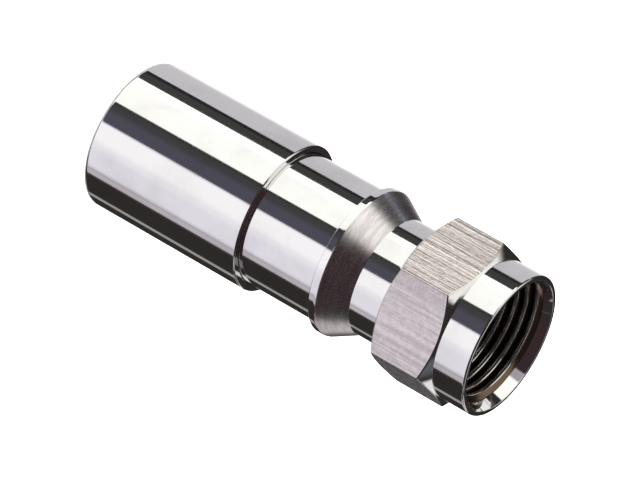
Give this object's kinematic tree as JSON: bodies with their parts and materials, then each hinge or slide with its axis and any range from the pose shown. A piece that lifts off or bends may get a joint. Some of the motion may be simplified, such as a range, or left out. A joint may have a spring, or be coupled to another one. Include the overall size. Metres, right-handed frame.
{
  "type": "coaxial f connector",
  "caption": "Compression connector for coaxial cable: turning hexagon nut with a threaded mouth, turned body, inner tubular post and a sleeve that slides forward to grip the cable.",
  "frame": {"origin": "centre of the cable end's flat face, on which it stands", "axes": "+Z along the connector's axis, from the cable end up to the nut's mouth; two of the nut's corners lie on the X axis"},
  "size_m": [0.0128, 0.0114, 0.0333],
  "materials": {
    "nickel_plated_nut": "satin",
    "nickel_plated_post": "satin",
    "nickel_plated_body": "polished",
    "nickel_plated_sleeve": "polished",
    "moulded_plastic": "matte",
    "seal_rubber": "matte"
  },
  "bodies": {
    "body": {"connector_body": "nickel_plated_body", "post": "nickel_plated_post", "nut_seal_ring": "seal_rubber", "sleeve_seal_ring": "seal_rubber"},
    "nut": {"coupling_nut": "nickel_plated_nut"},
    "sleeve": {"compression_sleeve": "nickel_plated_sleeve", "grip_ring": "moulded_plastic"}
  },
  "joints": [
    {"name": "nut_spin", "type": "hinge", "parent": "body", "child": "nut", "pos_m": [0, 0, 0.0268], "axis": [0, 0, 1], "continuous": true},
    {"name": "sleeve_compress", "type": "slide", "parent": "body", "child": "sleeve", "axis": [0, 0, 1], "range_m": [0, 0.0063]}
  ]
}
